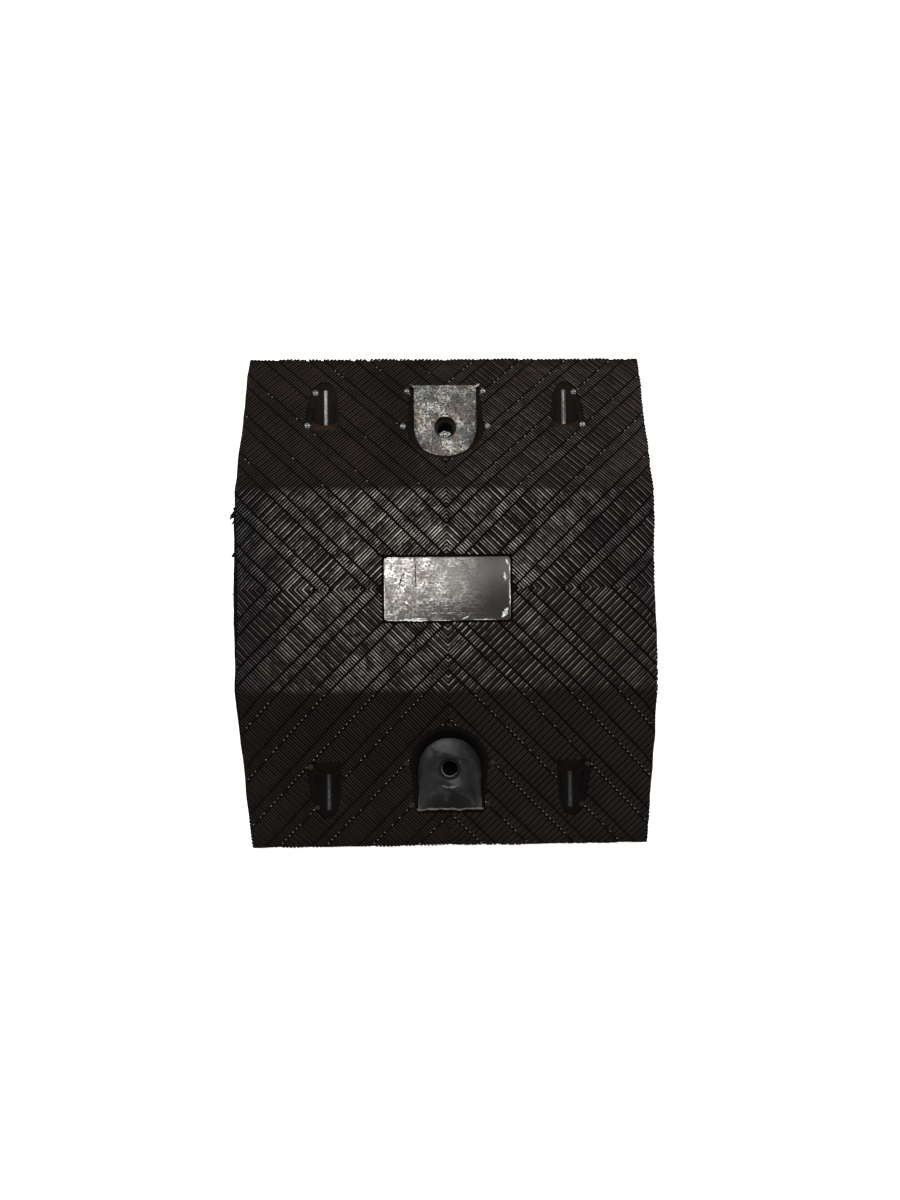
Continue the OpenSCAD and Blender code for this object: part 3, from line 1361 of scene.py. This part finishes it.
    def _is_open(self, across: float, along: float, width: float) -> bool:
        """Tells whether a point of a rib lies on the tread and clear of every rim.

        Args:
            across: Its place across the band.
            along: Its place along the band.
            width: How far it may lie outside the quarter.

        Returns:
            True where the tread is open.
        """
        plan, scoop = self.plan, self.scoop
        x = (along - across) * HALF_SQRT
        y = (along + across) * HALF_SQRT
        if not (-width < x < plan.half_w + width and -width < y < plan.half_l + width):
            return False
        x, y = abs(x), abs(y)
        if x < plan.panel_half_len + self.panel_rim and y < plan.panel_half_w + self.panel_rim:
            return False
        lean_run = (plan.surface_z(y) - plan.seat_z) * plan.wall_lean
        seat_reach = plan.seat_r + self.seat_rim + max(0.0, lean_run)
        seat_end = plan.seat_edge_y + self.seat_end
        if math.hypot(x, y - plan.bolt_y) < seat_reach or x < seat_reach and plan.bolt_y < y < seat_end:
            return y > seat_end
        rise = max(0.0, plan.surface_z(scoop.wall_y(plan)) - scoop.floor_z(plan))
        far_y = scoop.wall_y(plan) - rise / math.tan(scoop.slope) - scoop.rim_end
        if not far_y < y < scoop.tip_y(plan) + scoop.rim_end:
            return True
        cut = min(scoop.radius, max(0.0, plan.surface_z(y) - scoop.floor_z(plan)))
        half = math.sqrt(scoop.radius**2 - (scoop.radius - cut) ** 2)
        return not scoop.x - half - scoop.rim_in < x < scoop.x + half + scoop.rim_out

    def pips(self) -> Piece:
        """Sets the tiny domes that the mould leaves on the ramps; their pale finish paints glints.

        Returns:
            All domes as one object.
        """
        bm = bmesh.new()
        places = self._pip_places()
        for side, end, share in self.pip_shares:
            for x, y in places:
                if hash01(x * 331, y * 173, side + 2 * end) > share:
                    continue
                spot = Matrix.Translation((side * x, end * y, self.plan.surface_z(y) - self.pip_sink))
                bmesh.ops.create_icosphere(bm, subdivisions=1, radius=self.pip_r, matrix=spot)
        return add_object("pips", bm, 180.0)

    def _pip_places(self) -> list[tuple[float, float]]:
        """Finds where domes can stand in one quarter: along one side of each fine band.

        Returns:
            X and Y of each place.
        """
        plan = self.plan
        pitch = RibStyle.PAIRED.value.pitch
        count = int((plan.half_w + plan.half_l) * HALF_SQRT / pitch) + 1
        places: list[tuple[float, float]] = []
        for middle in self._lines():
            across = (middle + self.fine_band / 2) * HALF_SQRT - self.groove
            for number in range(count):
                along = number * pitch
                x, y = (along - across) * HALF_SQRT, (along + across) * HALF_SQRT
                on_ramp = plan.crease_y + self.pip_end < y < plan.half_l - self.pip_end
                inside = 0.0 < x < plan.half_w - self.pip_side
                if on_ramp and inside and self._is_open(across, along, 0.0):
                    places.append((x, y))
        return places


@dataclass(frozen=True)
class Nubs:
    """Small moulded domes beside the seats and the scoops; their places are in millimetres."""

    plan: Layout
    radius: float = 3.2 * MM
    height: float = 2.3 * MM
    sink: float = 1.7 * MM
    dent: float = 0.10
    rear: tuple[tuple[float, float], ...] = ((130, 207), (136, 168), (38.4, 208.4), (42, 166.5))
    front: tuple[tuple[float, float], ...] = ((135, -167.5), (131, -207.7), (42, -165.3), (37.5, -206.5))

    def build(self, end: int) -> Piece:
        """Sets a low dome at every place of one end, on both sides.

        Args:
            end: 1 for the rear, -1 for the front.

        Returns:
            The domes as one object.
        """
        bm = bmesh.new()
        places = self.rear if end > 0 else self.front
        for x, y, side in ((x * MM, y * MM, side) for x, y in places for side in (-1, 1)):
            dome = bmesh.ops.create_icosphere(bm, subdivisions=3, radius=self.radius)["verts"]
            tall = self.height * (0.85 + 0.3 * hash01(side * x * 91, y * 57)) / self.radius
            for vert in dome:
                vert.co *= 1.0 + self.dent * noise.noise(vert.co * 700 + Vector((x, y, side)) * 90)
            bmesh.ops.scale(bm, verts=dome, vec=(1.0, 1.0, tall))
            bmesh.ops.translate(bm, verts=dome, vec=(side * x, y, self.plan.surface_z(y) - self.sink))
        return add_object(f"nubs_{end_name(end)}", bm)


@dataclass(frozen=True)
class Flash:
    """Torn scraps of rubber at the outline, and dark pieces in the bores: a crescent and a disc of painted
    shade, and small dark specks.

    A scrap is X and Y of its root, X and Y of its tip and its width, in millimetres.
    """

    plan: Layout
    bore_r: float = 8 * MM
    # The crescent: a dark sheet of painted shade over the ground in the rear bore.
    crescent_shift: float = 2.0 * MM
    crescent_h: float = 0.8 * MM
    speck_count: int = 130
    speck_r: float = 0.55 * MM
    # Size, thickness and place of the dark disc of painted shade in the front bore; the specks in the rear
    # bore spread over its radius.
    disc_r: float = 7.95 * MM
    disc_h: float = 0.9 * MM
    disc_at: Point = (0.1 * MM, 0.3 * MM, 2.0 * MM)
    scrap_h: float = 1.4 * MM
    scrap_drop: float = 1.5 * MM
    scraps: tuple[Streak, ...] = (
        (-198, 77, -205.8, 69, 7),
        (-198, 66.5, -204.4, 65.2, 4),
        (-198, 36.5, -204.4, 33.5, 6),
        (-200, -1, -204.2, -4, 1.2),
        (-187, 246, -186.6, 251.8, 0.8),
        (196, 223, 201.6, 218, 1.5),
        (197, 214, 202.0, 216.5, 1.2),
    )

    def build(self) -> Piece:
        """Adds every scrap, and the dark crescent of painted shade at the foot of the rear bore.

        Returns:
            The scraps as one object.
        """
        bm = bmesh.new()
        for number, scrap in enumerate(self.scraps):
            self._scrap(bm, scrap, number)
        bent_bar(bm, 24, self._crescent)
        return add_object("flash", bm, 60.0)

    def skin(self) -> Piece:
        """Makes the thin dark disc that almost closes the front bore: painted shade of the ground under it.

        Returns:
            The skin.
        """
        bm = bmesh.new()
        bmesh.ops.create_circle(bm, cap_ends=True, segments=48, radius=self.disc_r)
        extrude_all(bm, (0.0, 0.0, self.disc_h))
        place = Vector(self.disc_at) - Vector((0.0, self.plan.bolt_y, 0.0))
        bmesh.ops.translate(bm, verts=bm.verts[:], vec=place)
        return add_object("bore_shade_disc", bm)

    def dark_specks(self) -> Piece:
        """Scatters small dark lumps over the ground at the foot of the rear bore.

        Returns:
            The crumbs as one object.
        """
        bm = bmesh.new()
        for number in range(self.speck_count):
            angle = hash01(number, 1.0) * math.tau
            away = math.sqrt(hash01(number, 2.0)) * self.disc_r * 0.95
            radius = self.speck_r * (0.5 + hash01(number, 3.0))
            spot = (away * math.cos(angle), self.plan.bolt_y + away * math.sin(angle), radius)
            matrix = Matrix.Translation(spot) @ Matrix.Rotation(angle, 4, "Z")
            bmesh.ops.create_icosphere(bm, subdivisions=1, radius=radius, matrix=matrix)
        return add_object("bore_dark_specks", bm)

    def _scrap(self, bm: Mesh, scrap: Streak, seed: int) -> None:
        """Adds one scrap that thins out from its root.

        Args:
            bm: The mesh that gets the scrap.
            scrap: The scrap's line and width.
            seed: Number of the scrap, which makes it unlike the others.
        """
        start, run, normal, width = read_streak(scrap)
        top = self.plan.surface_z(start.y) - self.scrap_drop

        def place(share: float, across: float, up: float) -> Point:
            """Places a point of the scrap.

            Args:
                share: Its share along the scrap.
                across: Its share across it.
                up: Its share of the height.

            Returns:
                The point.
            """
            wide = width * (1.0 - 0.8 * share) * (1.0 + 0.8 * wobble(share, 5.0, seed))
            sway = wobble(share, 3.0, seed + 40) * 1.5 * MM
            spot = start + run * share + normal * (across * wide + sway)
            sag = 2 * MM * share * share
            return spot.x, spot.y, top - sag + (up - 1.0) * self.scrap_h * (1.2 - share)

        bent_bar(bm, 7, place)

    def _crescent(self, share: float, across: float, up: float) -> Point:
        """Places a point of the dark crescent of painted shade in the rear bore.

        Args:
            share: Its share along the crescent.
            across: Its share across it.
            up: Its share of the height.

        Returns:
            The point.
        """
        angle = math.radians(5 + 170 * share)
        inner = math.sqrt(self.bore_r**2 - (self.crescent_shift * math.cos(angle)) ** 2)
        deep = self.bore_r + self.crescent_shift * math.sin(angle) - inner
        deep *= 1.0 + 0.35 * wobble(share, 9.0, 3.0)
        radius = self.bore_r - deep * (0.5 - across)
        return radius * math.cos(angle), self.plan.bolt_y + radius * math.sin(angle), up * self.crescent_h


def read_streak(streak: Streak) -> tuple[Vector, Vector, Vector, float]:
    """Reads a line that is given in millimetres.

    Args:
        streak: X and Y of both ends, and the width.

    Returns:
        Its start, its run, the direction across it, and its width, in metres.
    """
    values = [value * MM for value in streak]
    start = Vector(values[:2])
    run = Vector(values[2:4]) - start
    return start, run, Vector((-run.y, run.x)).normalized(), values[4]


# ---------------------------------------------------------------- inserts


@dataclass(frozen=True)
class SeatPlate:
    """The D-shaped load plate on the floor of one seat."""

    plan: Layout
    end: int
    hole_r: float = 11 * MM
    edge_r: float = 0.45 * MM

    def build(self) -> Piece:
        """Builds the plate with its hole.

        Returns:
            The plate.
        """
        plan = self.plan
        name = f"load_plate_{end_name(self.end)}"
        plate = seat_solid(name, plan, self.end, plan.plate_bottom_z, plan.seat_z, 0.0, plan.plate_gap)
        middle = (0.0, self.end * plan.bolt_y, plan.seat_z)
        cut_away(plate, [cylinder("hole_cutter", self.hole_r, 20 * MM, middle)])
        soften(plate, self.edge_r)
        return plate


@dataclass(frozen=True)
class PlateMarks:
    """Stamped crescents and the uneven lips at the plates' outer edges."""

    plan: Layout
    end: int
    arc_r: float = 18 * MM
    arc_w: float = 2.2 * MM
    arc_span: float = math.radians(58)
    arc_h: float = 0.45 * MM
    lip_w: float = 3.4 * MM
    lip_h: float = 1.4 * MM
    bead_w: float = 1.7 * MM
    horn: float = 3.0 * MM
    root: float = 1.5 * MM

    def build(self) -> Piece:
        """Adds the crescent and the lip or the bead of one plate.

        Returns:
            The marks as one object.
        """
        bm = bmesh.new()
        bent_bar(bm, 20, self._crescent)
        bent_bar(bm, 40, self._lip if self.end > 0 else self._bead)
        return add_object(f"plate_marks_{end_name(self.end)}", bm, 60.0)

    def _crescent(self, share: float, across: float, up: float) -> Point:
        """Places a point of the crescent outside the hole.

        Args:
            share: Its share along the crescent.
            across: Its share across it.
            up: Its share of the height.

        Returns:
            The point.
        """
        swell = math.sin(math.pi * share) ** 0.5
        angle = math.pi / 2 + self.arc_span * (share - 0.5)
        radius = self.arc_r + across * self.arc_w * swell * (1.0 + wobble(share, 8.0, self.end))
        spot = (radius * math.cos(angle), self.end * (self.plan.bolt_y + radius * math.sin(angle)))
        tall = self.arc_h * swell * (1.0 + 1.2 * wobble(share, 6.0, self.end + 7))
        return spot[0], spot[1], self.plan.seat_z - 0.3 * MM + up * (0.3 * MM + tall)

    def _lip(self, share: float, across: float, up: float) -> Point:
        """Places a point of the rear plate's lip, which ends in two horns.

        Args:
            share: Its share along the lip.
            across: Its share across it.
            up: Its share of the height.

        Returns:
            The point.
        """
        plan = self.plan
        half = plan.seat_r + self.horn
        x = (2.0 * share - 1.0) * half
        tip = max(0.0, (abs(x) - plan.seat_r + self.root) / (half - plan.seat_r + self.root))
        middle = plan.seat_edge_y + 1.1 * MM + tip * 2.6 * MM + wobble(share, 14.0, 2.0) * 0.5 * MM
        y = middle + across * self.lip_w * (1.0 - 0.75 * tip)
        top = plan.seat_z + 0.15 * MM + tip * 0.8 * MM + wobble(share, 11.0, 9.0) * 0.3 * MM
        return x, y, top - (1.0 - up) * self.lip_h - max(0.0, across) * 0.8 * MM

    def _bead(self, share: float, across: float, up: float) -> Point:
        """Places a point of the wavy bead along the front plate's outer edge.

        Args:
            share: Its share along the bead.
            across: Its share across it.
            up: Its share of the height.

        Returns:
            The point.
        """
        plan = self.plan
        x = (2.0 * share - 1.0) * (plan.seat_r + 1.0 * MM)
        middle = plan.seat_edge_y - 0.6 * MM + wobble(share, 7.0, 5.0) * 1.6 * MM
        y = -(middle + across * self.bead_w * (1.0 + wobble(share, 12.0, 1.0)))
        top = 0.55 * MM + wobble(share, 9.0, 8.0) * 0.7 * MM
        return x, y, plan.seat_z - 0.5 * MM + up * (0.5 * MM + max(0.1 * MM, top))


@dataclass(frozen=True)
class PanelMarks:
    """Bright burrs and chips round the panel, and the dark scratches on it.

    A mark is X and Y of both ends and its width, in millimetres.
    """

    plan: Layout
    sink: float = 0.2 * MM
    bright: tuple[Streak, ...] = (
        (-46, -29.8, -19, -30.1, 1.7),
        (-34, -28.2, -20, -28.6, 0.8),
        (-58, -29.6, -47, -30.3, 0.6),
        (-14, -30.2, 3, -30.2, 0.5),
        (14, -29.2, 20, -26.6, 1.3),
        (24, -29.6, 46, -29.9, 0.6),
        (59.3, 24, 59.4, 12, 0.7),
        (59.2, 8, 59.4, -17, 0.9),
        (-59.4, 6, -59.3, -24, 0.7),
        (57.5, -19, 51.5, -28, 3.6),
        (54.2, 15.5, 55.5, 7.5, 2.2),
        (56, 27.5, 58.2, 22, 1.8),
        (-40.5, -12.5, -37, -14, 2.0),
    )
    scratches: tuple[Streak, ...] = (
        (-30.6, 29.5, -29.6, -1, 0.75),
        (-40, 14.5, -43.2, 12, 0.9),
        (-43.2, 12, -45.4, 2, 1.2),
        (-41.5, -13, -38.4, -16.5, 1.2),
        (12, 28, 26, 14, 0.4),
    )

    def build(self, lines: tuple[Streak, ...], name: str) -> Piece:
        """Adds one kind of mark.

        Args:
            lines: The marks' lines and widths.
            name: Name of the object.

        Returns:
            The marks as one object.
        """
        bm = bmesh.new()
        for number, line in enumerate(lines):
            self._mark(bm, line, number)
        return add_object(name, bm, 60.0)

    def _mark(self, bm: Mesh, line: Streak, seed: int) -> None:
        """Adds one uneven streak that hugs the panel's top.

        Args:
            bm: The mesh that gets the streak.
            line: The streak's line and width.
            seed: Number of the streak.
        """
        start, run, normal, width = read_streak(line)

        def place(share: float, across: float, up: float) -> Point:
            """Places a point of the streak.

            Args:
                share: Its share along the streak.
                across: Its share across it.
                up: Its share of the height.

            Returns:
                The point.
            """
            swell = math.sin(math.pi * min(0.97, max(0.03, share))) ** 0.4
            wide = width * swell * (1.0 + 1.3 * wobble(share, run.length * 400, seed))
            sway = wobble(share, 6.0, seed + 20) * width * 0.8
            spot = start + run * share + normal * (across * wide + sway)
            tall = (0.16 + 0.20 * wobble(share, run.length * 300, seed + 9)) * MM
            return spot.x, spot.y, self.plan.panel_top_z - self.sink + up * (self.sink + max(0.03 * MM, tall))

        bent_bar(bm, max(5, int(run.length / (1.2 * MM))), place)


@dataclass(frozen=True)
class BoltSleeve:
    """The steel sleeve under one load plate."""

    plan: Layout
    end: int
    bore_r: float = 8 * MM
    chamfer: float = 0.8 * MM

    def build(self) -> Piece:
        """Spins the sleeve's wall round the bolt's axis.

        Returns:
            The sleeve.
        """
        plan = self.plan
        top, outer = plan.plate_bottom_z, plan.sleeve_r
        wall = (
            (self.bore_r, self.chamfer),
            (self.bore_r + self.chamfer, 0.0),
            (outer, 0.0),
            (outer, top),
            (self.bore_r + self.chamfer, top),
            (self.bore_r, top - self.chamfer),
        )
        bm = bmesh.new()
        profile = bm.faces.new([bm.verts.new((radius, 0.0, height)) for radius, height in wall])
        bmesh.ops.spin(
            bm,
            geom=[profile, *profile.edges, *profile.verts],
            angle=2 * math.pi,
            steps=64,
            use_merge=True,
            axis=(0.0, 0.0, 1.0),
            cent=ORIGIN,
        )
        bmesh.ops.remove_doubles(bm, verts=bm.verts[:], dist=TINY)
        inner = [face for face in bm.faces if len(face.verts) > 4]
        bmesh.ops.delete(bm, geom=inner, context="FACES_ONLY")
        bmesh.ops.translate(bm, verts=bm.verts[:], vec=(0.0, self.end * plan.bolt_y, 0.0))
        return add_object(f"sleeve_{end_name(self.end)}", bm)


@dataclass(frozen=True)
class CentrePanel:
    """The blank panel in the middle of the flat top."""

    plan: Layout
    corner_r: float = 4 * MM
    edge_r: float = 0.5 * MM

    def build(self) -> Piece:
        """Builds the panel with round corners and edges softened by wear.

        Returns:
            The panel.
        """
        plan = self.plan
        size = (2 * plan.panel_half_len, 2 * plan.panel_half_w)
        panel = rounded_block("blank_panel", size, plan.panel_bottom_z, plan.panel_top_z, self.corner_r)
        soften(panel, self.edge_r)
        return panel


# ---------------------------------------------------------------- studio


@dataclass(frozen=True)
class Studio:
    """Floor, lights and the camera."""

    effects: Effects
    focal_ratio: float = 594.1 / 1200
    sensor: float = 36.0
    shift: tuple[float, float] = (-0.0067, 0.1129)
    camera_at: Point = (0.00025, -0.1523, 0.6092)
    camera_turn: Point = (0.0233, -0.0141, -0.0131)
    surround: float = 0.06
    boxes: tuple[tuple[Point, tuple[float, float], float], ...] = (
        ((-0.26, 0.76, 1.6), (0.48, 1.10), 7.5),
        ((0.46, 1.14, 1.6), (0.22, 0.50), 7.5),
        ((-0.44, -0.36, 1.6), (0.24, 0.30), 2.4),
        ((0.44, -0.36, 1.6), (0.24, 0.30), 2.4),
    )
    sun_width: float = math.radians(30)
    suns: tuple[tuple[Point, float], ...] = (
        ((-1.6, 1.0, 1.35), 1.8),
        ((1.5, 1.1, 1.30), 2.2),
        ((-1.5, -1.1, 1.30), 1.4),
        ((1.6, -1.0, 1.30), 1.5),
    )

    def build(self) -> None:
        """Builds the studio."""
        self._floor()
        self._surround()
        self._lights()
        self._camera()

    def _floor(self) -> None:
        """Lays a pale floor under the module.

        The floor is not tied to the module's body, so it is no part of the module.
        """
        bm = bmesh.new()
        bmesh.ops.create_grid(bm, x_segments=1, y_segments=1, size=6.0)
        floor = add_object("floor", bm)
        floor.data.materials.append(FloorFinish("floor").build(self.effects))

    def _surround(self) -> None:
        """Sets the dim surround and the view transform."""
        world = bpy.data.worlds.new("surround")
        world.use_nodes = True
        background = world.node_tree.nodes["Background"]
        background.inputs["Color"].default_value = (0.95, 0.98, 1.0, 1.0)
        background.inputs["Strength"].default_value = self.surround
        bpy.context.scene.world = world
        bpy.context.scene.view_settings.view_transform = "Standard"

    def _lights(self) -> None:
        """Hangs soft boxes over the module and wide soft suns round it."""
        for index, (spot, size, glow) in enumerate(self.boxes):
            box = bpy.data.lights.new(f"soft_box_{index}", "AREA")
            box.shape = "RECTANGLE"
            box.size, box.size_y = size
            box.energy = glow * math.pi * size[0] * size[1]
            self._aim(box, Vector(spot))
        for index, (spot, energy) in enumerate(self.suns):
            sun = bpy.data.lights.new(f"sun_{index}", "SUN")
            sun.energy = energy
            sun.angle = self.sun_width
            self._aim(sun, Vector(spot))

    @staticmethod
    def _aim(light: bpy.types.Light, spot: Vector) -> None:
        """Places a light so that it shines at the module.

        Args:
            light: The light.
            spot: Its place.
        """
        lamp = bpy.data.objects.new(light.name, light)
        lamp.location = spot
        lamp.rotation_mode = "QUATERNION"
        lamp.rotation_quaternion = (-spot).to_track_quat("-Z", "Y")
        bpy.context.scene.collection.objects.link(lamp)

    def _camera(self) -> None:
        """Sets the camera above the front half of the module, looking down."""
        lens = bpy.data.cameras.new("camera")
        lens.sensor_width = self.sensor
        lens.lens = self.focal_ratio * self.sensor
        lens.shift_x, lens.shift_y = self.shift
        lens.clip_start, lens.clip_end = 0.01, 50.0
        camera = bpy.data.objects.new("camera", lens)
        camera.location = self.camera_at
        camera.rotation_mode = "XYZ"
        camera.rotation_euler = self.camera_turn
        bpy.context.scene.collection.objects.link(camera)
        bpy.context.scene.camera = camera


# ---------------------------------------------------------------- the whole module


def dress(piece: Piece, material: bpy.types.Material, node: str) -> None:
    """Gives a piece its material and ties it to the frame.

    Args:
        piece: The finished piece.
        material: Its material.
        node: The CAD node that it stands for.
    """
    piece.data.materials.clear()
    piece.data.materials.append(material)
    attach(piece, BODY)
    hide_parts(node)
    LOG.info("%s: %d faces, for %s", piece.name, len(piece.data.polygons), node)


def main() -> None:
    """Builds the module's pieces in order and the studio round them."""
    logging.basicConfig(level=logging.INFO, format="%(message)s")
    rib_h = 1.8 * MM
    plan = Layout.from_frame()
    scoop = Scoop()
    effects = Effects(plan, rib_h)
    materials = Materials(plan, scoop, effects)
    tread, nubs, flash, marks = Tread(plan, scoop, rib_h), Nubs(plan), Flash(plan), PanelMarks(plan)

    dress(RubberShell(plan, scoop, rib_h).build(), materials.rubber, "rubber_body")
    for ribs in tread.build():
        dress(ribs, materials.rubber, "rubber_body")
    for piece, material in (
        # Pale domes: painted glints.
        (tread.pips(), materials.pale),
        (nubs.build(1), materials.glossy),
        (nubs.build(-1), materials.rubber),
        (flash.build(), materials.rubber),
        # Dark disc in the front bore: painted shade.
        (flash.skin(), materials.rubber),
        (flash.dark_specks(), materials.grime),
    ):
        dress(piece, material, "rubber_body")
    for piece, material in (
        (CentrePanel(plan).build(), materials.panel),
        (marks.build(marks.bright, "panel_burrs"), materials.bright),
        (marks.build(marks.scratches, "panel_scratches"), materials.grime),
    ):
        dress(piece, material, "centre_panel")
    for end, marked in ((-1, materials.scuffed), (1, materials.plate)):
        label = end_name(end)
        dress(SeatPlate(plan, end).build(), materials.plate, f"seat_plate_{label}")
        dress(PlateMarks(plan, end).build(), marked, f"seat_plate_{label}")
        dress(BoltSleeve(plan, end).build(), materials.sleeve, f"bolt_sleeve_{label}")

    Studio(effects).build()


if __name__ == "__main__":
    main()
